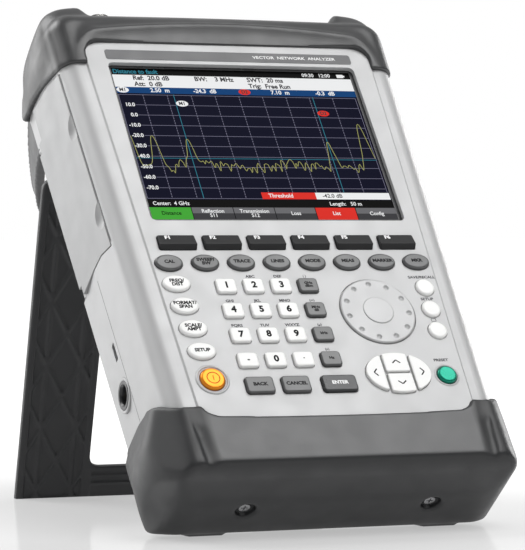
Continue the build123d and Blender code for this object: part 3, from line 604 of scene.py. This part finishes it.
def stand_field(x, y, z):
    """The open stand in its own frame: y runs up the blade to the hinge, z is its face."""
    half = np.abs(x)
    outline = smax(half - 88, np.maximum(y + 6, -200 - y), 7.0)
    window = smax(half - 48, np.maximum(y + 42, -166.4 - y), 7.0)
    shape = smax(outline, -window, 0.6)
    flange = np.maximum(np.abs(half - 68) - 16.4, np.maximum(y + 18, -183.5 - y))
    rib = np.minimum(np.abs(half - 58), np.abs(half - 77.3))
    pitch = 35.7
    for sign in (1, -1):
        phase = (y + 90.3 + sign * 1.8 * (half - 67.2)) / pitch
        rib = np.minimum(rib, np.abs(phase - np.round(phase)) * pitch / 2.06)
    depth = 1.5 * ramp(-flange, 0.0, 1.0) - 1.1 * (1 - ramp(rib, 0.5, 1.3))
    bar = np.maximum(half - 47, np.maximum(y + 168.5, -183.5 - y))
    ridges = np.minimum(np.abs(y + 171.5), np.abs(y + 176))
    depth = np.where(half < 47, 0.8 * ramp(-bar, 0, 0.8) * ramp(ridges, 0.3, 1.0), np.maximum(depth, 0))
    blade = smax(shape, smax(z - 2.2 + depth, -2.2 - z, 0.6), 1.0)
    neck = np.maximum(np.maximum(half - 69.9, np.abs(y + 4) - 4), np.abs(z) - 2.2)
    barrel = np.maximum(np.hypot(y, z) - 2.2, half - 69.9)
    pin = np.maximum(np.hypot(y, z) - 2.0, half - 77.5)
    whole = np.minimum(smin(blade, np.minimum(neck, barrel), 0.6), pin)
    cos, sin = math.cos(STAND_OPEN), math.sin(STAND_OPEN)
    above = floor_height(HINGE.y + y * cos - z * sin, HINGE.z + y * sin + z * cos)
    return smax(whole, -above, 0.3)


def rear_stand():
    stand = moulding("fold_out_stand", stand_field, (-90, -194, -3.6), (90, 3.6, 3.6), (0.8, 0.8, 0.6),
                     [STAND], body="stand", place=TO_WORLD @ STAND_TO_PANEL)
    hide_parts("stand")


# --------------------------------------------------------------------- display
PIXEL = 132.5 / 640  # the display's active width over its columns
SCREEN_Z = -2.9
LAYER = 0.02  # height of each layer of the picture over the one below
FILM = 0.015


def screen_point(u, v):
    """A point on the display from its column and row, of 640 by 480."""
    return (u - 320) * PIXEL, (240 - v) * PIXEL


def patch(parts, u0, u1, v0, v1, layer, paint):
    x0, y1 = screen_point(u0, v0)
    x1, y0 = screen_point(u1, v1)
    z = SCREEN_Z + LAYER * layer
    parts.box(x0, x1, y0, y1, z - FILM, z, paint)


def words(parts, text, u, v, height, layer, paint, align="CENTER", bold=0.015):
    x, y = screen_point(u, v)
    lettering(parts, text, height * PIXEL, x, y, SCREEN_Z + LAYER * layer, paint, bold, align, 0.92)


def line(parts, points, width, layer, paint):
    z = SCREEN_Z + LAYER * layer
    for quad in stroke([screen_point(u, v) for u, v in points], width * PIXEL):
        parts.prism(quad, z - FILM, z, paint)


def bubble(parts, u, v, text, layer, paint, text_paint):
    x, y = screen_point(u, v)
    z = SCREEN_Z + LAYER * layer
    parts.prism(ellipse(x, y, 16 * PIXEL, 9.5 * PIXEL), z - FILM, z, paint)
    words(parts, text, u, v, 15, layer + 1, text_paint, bold=0.03)


def reading():
    """The measured trace, as columns and rows of the display: peaks over a ragged noise floor."""
    chance = np.random.default_rng(23)
    u = np.arange(4, 636, 2.0)
    v = 308 + 7 * np.sin(u / 37.0) + 5 * np.sin(u / 11.3 + 1)
    for centre in np.arange(70, 600, 13.0) + chance.uniform(-5, 5, 41):
        depth, width = chance.uniform(4, 30), chance.uniform(2.5, 6)
        v += depth * np.maximum(0, 1 - np.abs(u - centre) / width) ** 0.8
    for centre in np.arange(66, 600, 21.0) + chance.uniform(-6, 6, 26):
        v -= chance.uniform(2, 15) * np.exp(-(((u - centre) / 4.5) ** 2))
    for centre, top, width in ((0, 205, 9), (58, 218, 12), (147, 228, 11), (518, 232, 10), (617, 172, 13)):
        v += (top - v) * np.exp(-((np.abs(u - centre) / width) ** 2.4))
    return list(zip(u, np.minimum(v, 400)))


def display():
    """Everything that the display shows, as thin layers under the lens."""
    black, white, blue, navy, violet, yellow, teal, red, green, grey, dark = range(11)
    colours = (
        ("screen_black", (0.0, 0.0, 0.0)), ("screen_white", (0.95, 0.96, 0.97)),
        ("screen_blue", (0.002, 0.055, 0.20)),
        ("screen_navy", (0.0, 0.0005, 0.014)), ("screen_violet", (0.20, 0.195, 0.28)),
        ("screen_yellow", (0.42, 0.42, 0.14)), ("screen_teal", (0.03, 0.22, 0.30)),
        ("screen_red", (0.80, 0.03, 0.02)), ("screen_green", (0.06, 0.42, 0.04)),
        ("screen_grey", (0.16, 0.16, 0.17)), ("screen_dark", (0.05, 0.05, 0.055)),
    )
    parts = Parts()
    patch(parts, 0, 640, 0, 480, 0, black)
    patch(parts, 0, 640, 81, 418, 1, navy)
    patch(parts, 0, 640, 21, 61, 1, white)
    patch(parts, 0, 640, 61, 81, 1, blue)
    words(parts, "Distance to fault", 4, 10.5, 19, 1, teal, "LEFT", bold=0.025)
    words(parts, "09:30   12:00", 586, 11, 16, 1, white, "RIGHT")
    patch(parts, 604, 622, 6, 17, 1, white)
    patch(parts, 622, 626, 9, 14, 1, white)
    for text, u, v in (("Ref:  20.0 dB", 52, 31), ("Att:  0 dB", 52, 51), ("BW:    3 MHz", 214, 31),
                       ("SWT:  20 ms", 354, 31), ("Trig:  Free Run", 354, 51)):
        words(parts, text, u, v, 20, 2, dark, "LEFT", bold=0.03)
    for text, u in (("2.50  m", 114), ("-24.3  dB", 232), ("7.10  m", 434), ("-0.3  dB", 556)):
        words(parts, text, u, 71, 18, 2, white, bold=0.025)
    columns = [2.5 + 63.25 * i for i in range(11)]
    rows = [86 + 32.85 * i for i in range(11)]
    for v in rows:
        line(parts, [(columns[0], v), (columns[-1], v)], 1.3, 2, violet)
    for u in columns:
        if u in (columns[0], columns[-1]):
            line(parts, [(u, rows[0]), (u, rows[-1])], 1.3, 2, violet)
            continue
        for k in range(41):
            start = rows[0] + 8.0 * k
            line(parts, [(u, start), (u, start + 5.6)], 1.6, 3, violet)
    for i, v in enumerate(rows[1:-1]):
        patch(parts, 4, 40, v - 7, v + 7, 3, navy)
        words(parts, f"{10 - 10 * i:.1f}", 38, v, 16, 4, white, "RIGHT", bold=0.025)
    line(parts, [(3, 289), (636, 289)], 1.6, 4, teal)
    for u in (146, 518):
        line(parts, [(u, 84), (u, 414)], 1.8, 4, teal)
    line(parts, reading(), 1.5, 5, yellow)
    bubble(parts, 162, 113, "M1", 6, white, dark)
    bubble(parts, 533, 138, "D2", 6, red, dark)
    bubble(parts, 17, 70.5, "M1", 3, white, dark)
    bubble(parts, 338, 71, "D2", 3, red, dark)
    patch(parts, 298, 440, 395, 416, 6, red)
    patch(parts, 440, 638, 395, 416, 6, white)
    words(parts, "Threshold", 348, 405.5, 17, 7, white)
    words(parts, "-42.0 dB", 484, 405.5, 17, 7, dark)
    words(parts, "Center:  4 GHz", 12, 430, 16, 1, white, "LEFT")
    words(parts, "Length:   50 m", 556, 430, 16, 1, white, "RIGHT")
    labels = ("Distance", "Reflection\nS11", "Transmission\nS12", "Loss", "List", "Config")
    for i, label in enumerate(labels):
        left, right = 107 * i, 107 * i + 105
        shade = {0: green, 4: red}.get(i, grey)
        patch(parts, left, right, 442, 479, 1, shade)
        if shade == grey:
            patch(parts, left, right, 460, 479, 2, dark)
        words(parts, label, (left + right) / 2, 460, 15.5, 3, black if i == 0 else white)
    screen = make("display_picture", parts, [glowing(*colour) for colour in colours])
    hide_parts("display_module")
    frame_parts = Parts()
    wide, tall = 70.8, 54.5
    active_x, active_y = 320 * PIXEL, 240 * PIXEL
    for x0, x1, y0, y1 in (
        (-wide, wide, active_y, tall), (-wide, wide, -tall, -active_y),
        (-wide, -active_x, -active_y, active_y), (active_x, wide, -active_y, active_y),
    ):
        frame_parts.box(x0, x1, y0, y1, SCREEN_Z - 1.0, SCREEN_Z + 0.25)
    frame_parts.box(-70, 70, -53, 53, SCREEN_Z - 7.4, SCREEN_Z - 0.4)
    make("display_bezel", frame_parts, [BEZEL])


# ------------------------------------------------------------- keys and legends
def top_of(key):
    """Middle of a key's box seen from the panel, and its highest point above the panel."""
    node = frame["nodes"][key]
    points = [TO_PANEL @ v.co for v in node.data.vertices]
    xs, ys, zs = zip(*points)
    return (min(xs) + max(xs)) / 2, (min(ys) + max(ys)) / 2, max(zs)


PRINT_GAP = 0.02  # print stands this far over its surface
SOFTKEY_RUN, SOFTKEY_FALL = 6.6, 1.4  # the softkeys' tops fall towards the user
KEY_PRINT = {
    "mode_key_1": "CAL", "mode_key_2": "SWEEP/\nBW", "mode_key_3": "TRACE", "mode_key_4": "LINES",
    "mode_key_5": "MODE", "mode_key_6": "MEAS", "mode_key_7": "MARKER", "mode_key_8": "MKR",
    "side_key_1": "FREQ/\nDIST", "side_key_2": "FORMAT/\nSPAN", "side_key_3": "SCALE/\nAMPT",
    "side_key_4": "SETUP",
    "unit_key_1": "GHz\ndBm", "unit_key_2": "MHz\ndB", "unit_key_3": "kHz", "unit_key_4": "Hz",
    "back_key": "BACK", "cancel_key": "CANCEL", "enter_key": "ENTER",
}
CHEVRONS = {"cursor_up": (0, 1), "cursor_down": (0, -1), "cursor_left": (-1, 0), "cursor_right": (1, 0)}


def key_legends():
    """Print on the key tops, each riding on its key."""
    for digit in range(10):
        key = f"digit_{digit}"
        x, y, top = top_of(key)
        parts = Parts()
        lettering(parts, str(digit), 5.0, x, y, top + PRINT_GAP, bold=0.045)
        make(f"print_{key}", parts, [INK], key)
    for key, text in KEY_PRINT.items():
        x, y, top = top_of(key)
        parts = Parts()
        size = 2.1 if key.startswith("unit") else 2.6
        ink = INK_WHITE if key == "enter_key" else INK
        lettering(parts, text, size, x, y, top + PRINT_GAP, bold=0.045, squeeze=1.08)
        make(f"print_{key}", parts, [ink], key)
    for number in range(1, 7):
        key = f"softkey_{number}"
        x, y, _ = top_of(key)
        tilt = math.atan2(-SOFTKEY_FALL, SOFTKEY_RUN)
        parts = Parts()
        down = 1.85
        height = 1.2 + (down / SOFTKEY_RUN) * SOFTKEY_FALL + 0.06
        lettering(parts, f"F{number}", 3.3, x - 4.6, y + 4.2 - down, height, bold=0.05, tilt=tilt)
        make(f"print_{key}", parts, [INK_WHITE], key)
    for key, (dx, dy) in CHEVRONS.items():
        x, y, top = top_of(key)
        reach, arm = 0.9, 2.1
        tip = (x + reach * dx, y + reach * dy)
        ends = [(x - reach * dx + s * arm * dy, y - reach * dy + s * arm * dx) for s in (-1, 1)]
        parts = Parts()
        for end in ends:
            for quad in stroke([end, tip], 0.65):
                parts.prism(quad, top, top + PRINT_GAP)
        make(f"print_{key}", parts, [INK], key)
    for key, mark in (("sign_key", "."), ("point_key", "-")):
        x, y, top = top_of(key)
        parts = Parts()
        lettering(parts, mark, 4.0, x, y + (1.2 if mark == "." else 0), top + PRINT_GAP, bold=0.03)
        make(f"print_{key}", parts, [INK], key)
    x, y, top = top_of("power_key")
    parts = Parts()
    ring(parts, x, y, 2.9, 3.35, top, top + PRINT_GAP)
    parts.box(x - 0.22, x + 0.22, y - 1.3, y + 1.3, top, top + PRINT_GAP)
    make("print_power_key", parts, [INK_ORANGE], "power_key")


def ring(parts, x, y, inner, outer, low, high, paint=0):
    profile = [(inner, low), (outer, low), (outer, high), (inner, high)]
    parts.lathe(profile, Matrix.Translation((x, y, 0)), paint)


def panel_print():
    """Small print on the panel, the strip over the display, and the button surrounds."""
    parts = Parts()
    over = {2: "ABC", 3: "DEF", 4: "GHI", 5: "JKL", 6: "MNO", 7: "PQRS", 8: "TUV", 9: "WXYZ"}
    for digit, text in over.items():
        x, y, _ = top_of(f"digit_{digit}")
        lettering(parts, text, 2.2, x, y + 6.4, PRINT_GAP, bold=0.035, squeeze=1.12)
    for i, text in enumerate(("( )", "(m)", "(µ)", "(n)")):
        x, y, _ = top_of(f"unit_key_{i + 1}")
        lettering(parts, text, 2.0, x, y + 6.4, PRINT_GAP)
    for text, x, y in (("SAVE/RECALL", 66.2, -88.8), ("SETUP", 65.2, -102.5), ("PRESET", 61.4, -140.0)):
        lettering(parts, text, 2.2, x, y, PRINT_GAP, bold=0.035, squeeze=1.12)
    x, y, _ = top_of("capture_key")
    low, high = y + 6.0, y + 7.6
    around = [(x - 1.2, low), (x - 1.2, high), (x + 1.2, high), (x + 1.2, low), (x - 1.2, low)]
    for quad in stroke(around, 0.3):
        parts.prism(quad, 0, PRINT_GAP)
    make("panel_print", parts, [INK_GREY], CASE)
    strip = Parts()
    strip.prism(rounded(-68.2, 68.2, 53.2, 59.6, 1.4), 0, 0.18)
    lettering(strip, "VECTOR  NETWORK  ANALYZER", 2.6, 36, 56.4, 0.2, 1, 0.02, squeeze=1.2)
    make("title_strip", strip, [STRIP, INK_WHITE], CASE)
    surround = Parts()
    x, y, _ = top_of("power_key")
    ringed = [(6.5, -0.4), (8.6, -0.4), (8.5, 0.15), (8.0, 0.55), (7.5, 0.55), (7.1, 0.1), (6.5, 0.1)]
    surround.lathe(ringed, Matrix.Translation((x, y, 0)))
    x, y, _ = top_of("preset_key")
    ringed = [(5.3, -0.4), (6.6, -0.4), (6.5, 0.1), (6.1, 0.35), (5.7, 0.35), (5.3, 0.0)]
    surround.lathe(ringed, Matrix.Translation((x, y, 0)))
    make("button_surrounds", surround, [SHELL], CASE)


def side_ribbon(parts, side, y0, y1, z0, z1, proud):
    """A thin strip that lies on the sloping side of the shells."""
    points = []
    for y in (y0, y1):
        half = SIDE_HALF + SIDE_SLOPE * y
        for x, z in ((half - 0.3, z0), (half + proud, z0), (half + proud, z1), (half - 0.3, z1)):
            points.append((side * x, y, z))
    faces = [[0, 1, 2, 3], [7, 6, 5, 4]] + [[i, 4 + i, 4 + (i + 1) % 4, (i + 1) % 4] for i in range(4)]
    if side < 0:
        faces = [face[::-1] for face in faces]
    parts.add(points, faces)


def side_seams():
    """The parting line between the shells, and a dark strip along the front edge of the socket cover, which is
    painted shade in the gap there.
    """
    parts = Parts()
    side_ribbon(parts, -1, -146, -61, PARTING - 0.15, PARTING + 0.15, 0.03)
    side_ribbon(parts, 1, -146, 52, PARTING - 0.15, PARTING + 0.15, 0.03)
    # painted shade: a dark strip along the cover's front edge, where only the shadow in the gap is dark
    side_ribbon(parts, -1, -58, 50, COVER_EDGE, COVER_EDGE + 1.3, 0.12)
    make("side_seams", parts, [SOCKET], CASE)


# ------------------------------------------------------------------ connectors
def upright(x, z):
    """Places a turned part on the deck, with its axis along the panel's height."""
    return Matrix.Translation((x, DECK, z)) @ Matrix.Rotation(-math.pi / 2, 4, "X")


def test_ports():
    """The ports on the deck and the power jack in the side, turned and threaded."""
    parts = Parts()
    for x, z in N_PORTS:
        place = upright(x, z)
        thread = []
        for k in range(9):
            thread += [(7.9, 2.6 + 1.06 * k), (7.35, 3.1 + 1.06 * k)]
        profile = [(6.1, 4.0), (6.1, -3), (9.7, -3), (9.7, 1.4), (9.3, 1.6), (7.3, 1.6)] + thread
        profile += [(7.7, 12.1), (7.3, 12.4), (6.3, 12.4), (6.1, 12.0)]
        parts.lathe(profile, place, 0)
        parts.lathe([(0.01, 0.5), (6.1, 0.5), (6.1, 3.9), (0.01, 3.9)], place, 2)
        parts.lathe([(0.01, 3.5), (1.5, 3.5), (1.5, 8.6), (1.1, 9.2), (0.01, 9.2)], place, 1)
    for x, z in BNC_PORTS:
        place = upright(x, z)
        parts.lathe([(3.9, -2), (7.0, -2), (7.0, 1.2), (6.7, 1.4), (5.2, 1.4), (4.8, 1.9), (4.8, 9.7),
                     (4.5, 10), (4.1, 10), (3.9, 9.8)], place, 0)
        parts.lathe([(0.01, 0.5), (3.9, 0.5), (3.9, 3.5), (0.01, 3.5)], place, 2)
        parts.lathe([(0.01, 3.2), (1.0, 3.2), (1.0, 7.6), (0.6, 8.2), (0.01, 8.2)], place, 1)
        for side in (-1, 1):
            lug = place @ Matrix.Translation((side * 4.8, 0, 8.0)) @ Matrix.Rotation(math.pi / 2, 4, "Y")
            parts.lathe([(0.01, -1.0), (1.0, -1.0), (1.0, 1.0), (0.01, 1.0)], lug, 0, 16)
    place = upright(*SENSOR_SOCKET)
    parts.lathe([(4.6, -3), (8.1, -3), (8.1, 1.1), (7.8, 1.4), (6.0, 1.4), (6.0, 3.6), (5.7, 4.0),
                 (4.9, 4.0), (4.6, 3.7)], place, 0)
    parts.lathe([(0.01, -3.9), (4.6, -3.9), (4.6, -1.5), (0.01, -1.5)], place, 3)
    for k in range(6):
        turn = math.pi / 3 * k
        pin = place @ Matrix.Translation((2.7 * math.cos(turn), 2.7 * math.sin(turn), 0))
        parts.lathe([(0.01, -1.6), (0.4, -1.6), (0.4, 1.2), (0.01, 1.4)], pin, 1, 10)
    half = SIDE_HALF + SIDE_SLOPE * JACK_Y
    jack = Matrix.Translation((-half, JACK_Y, JACK_Z)) @ Matrix.Rotation(-math.pi / 2, 4, "Y")
    parts.lathe([(7.3, -3), (8.7, -3), (8.7, 0.05), (8.4, 0.3), (7.6, 0.3), (7.3, 0.1)], jack, 4)
    parts.lathe([(4.6, -12), (7.3, -12), (7.3, 0.2), (7.0, 0.5), (5.6, 0.5), (4.9, -0.2), (4.6, -1)],
                jack, 3)
    parts.lathe([(0.01, -13), (7.3, -13), (7.3, -12), (0.01, -12)], jack, 3)
    parts.lathe([(0.01, -12.5), (1.2, -12.5), (1.2, -2.6), (0.8, -2.2), (0.01, -2.2)], jack, 1, 24)
    paints = [NICKEL, GOLD, INSULATOR, SOCKET, SHELL]
    ports = make("ports_and_jack", parts, paints, CASE, angle=25)
    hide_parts("connectors")


# ------------------------------------------------------------ floor, light, camera
def studio():
    """Plain pale floor and soft light."""
    scene = bpy.context.scene
    scene.view_settings.view_transform = "Standard"
    world = bpy.data.worlds.new("studio")
    world.use_nodes = True
    tree = world.node_tree
    room = tree.nodes["Background"]
    room.inputs["Color"].default_value = (1, 1, 1, 1)
    place = tree.nodes.new("ShaderNodeTexCoord")
    split = tree.nodes.new("ShaderNodeSeparateXYZ")
    tree.links.new(place.outputs["Generated"], split.inputs["Vector"])
    depth = tree.nodes.new("ShaderNodeMapRange")
    depth.interpolation_type = "SMOOTHSTEP"
    depth.inputs["From Min"].default_value = -0.5
    depth.inputs["From Max"].default_value = 0.9
    depth.inputs["To Min"].default_value = 0.12
    depth.inputs["To Max"].default_value = 0.7
    tree.links.new(split.outputs["Y"], depth.inputs["Value"])
    tree.links.new(depth.outputs["Result"], room.inputs["Strength"])
    backdrop = tree.nodes.new("ShaderNodeBackground")
    backdrop.inputs["Color"].default_value = (1, 1, 1, 1)
    rays = tree.nodes.new("ShaderNodeLightPath")
    either = tree.nodes.new("ShaderNodeMixShader")
    tree.links.new(rays.outputs["Is Camera Ray"], either.inputs["Fac"])
    tree.links.new(room.outputs["Background"], either.inputs[1])
    tree.links.new(backdrop.outputs["Background"], either.inputs[2])
    tree.links.new(either.outputs["Shader"], tree.nodes["World Output"].inputs["Surface"])
    scene.world = world
    mesh = bpy.data.meshes.new("floor")
    reach = 30.0
    corners = [(-reach, -reach, 0), (reach, -reach, 0), (reach, reach, 0), (-reach, reach, 0)]
    mesh.from_pydata(corners, [], [(0, 1, 2, 3)])
    floor = bpy.data.objects.new("floor", mesh)
    scene.collection.objects.link(floor)
    made, tree, shade = shader("floor_white")
    shade.inputs["Base Color"].default_value = (0.3, 0.3, 0.3, 1)
    shade.inputs["Roughness"].default_value = 1.0
    shade.inputs["Specular IOR Level"].default_value = 0.0
    shade.inputs["Emission Color"].default_value = (1, 1, 1, 1)
    place = tree.nodes.new("ShaderNodeTexCoord")
    away = tree.nodes.new("ShaderNodeVectorMath")
    away.operation = "DISTANCE"
    away.inputs[1].default_value = (-0.08, -0.05, 0)
    tree.links.new(place.outputs["Object"], away.inputs[0])
    fade = tree.nodes.new("ShaderNodeMapRange")
    fade.interpolation_type = "SMOOTHSTEP"
    fade.inputs["From Min"].default_value = 0.1
    fade.inputs["From Max"].default_value = 0.62
    fade.inputs["To Min"].default_value = 0.6
    fade.inputs["To Max"].default_value = 1.2
    tree.links.new(away.outputs["Value"], fade.inputs["Value"])
    tree.links.new(fade.outputs["Result"], shade.inputs["Emission Strength"])
    polish = tree.nodes.new("ShaderNodeBsdfGlossy")
    polish.inputs["Roughness"].default_value = 0.1
    both = tree.nodes.new("ShaderNodeMixShader")
    both.inputs["Fac"].default_value = 0.27
    tree.links.new(shade.outputs["BSDF"], both.inputs[1])
    tree.links.new(polish.outputs["BSDF"], both.inputs[2])
    tree.links.new(both.outputs["Shader"], tree.nodes["Material Output"].inputs["Surface"])
    mesh.materials.append(made)
    for name, spot, size, power in (
        ("overhead_light", (0.6, -0.9, 2.0), 1.7, 40.0),
        ("left_light", (-2.2, -0.6, 0.9), 1.2, 3.5),
        ("left_back_light", (-1.3, 2.4, 0.7), 1.2, 14.0),
        ("left_high_light", (-1.2, 1.15, 1.8), 1.3, 32.0),
        ("right_back_light", (2.4, 1.4, 0.7), 1.0, 16.0),
    ):
        lamp = bpy.data.lights.new(name, "AREA")
        lamp.size = size
        lamp.energy = power
        lamp_object = bpy.data.objects.new(name, lamp)
        lamp_object.location = spot
        aim = Vector((0, 0, 0.12)) - Vector(spot)
        lamp_object.rotation_euler = aim.to_track_quat("-Z", "Y").to_euler()
        scene.collection.objects.link(lamp_object)


def photo_camera():
    """The camera to the left of the instrument, nearly level, with a long lens."""
    azimuth, elevation, distance = math.radians(-22.43), math.radians(0.97), 1.469
    target = ORIGIN + Vector((0.0058, 0.0002, -0.0692))
    level = math.cos(elevation)
    back = Vector((math.sin(azimuth) * level, -math.cos(azimuth) * level, math.sin(elevation)))
    lens = bpy.data.cameras.new("camera")
    lens.lens = 189.45
    lens.sensor_width = 36.0
    lens.shift_x = -0.0065
    lens.shift_y = 0.0031
    camera = bpy.data.objects.new("camera", lens)
    camera.location = target + distance * back
    camera.rotation_euler = (-back).to_track_quat("-Z", "Y").to_euler()
    bpy.context.scene.collection.objects.link(camera)
    bpy.context.scene.camera = camera


paint_frame()
studio()
photo_camera()
boots()
carry_handle()
rear_stand()
display()
key_legends()
panel_print()
side_seams()
test_ports()
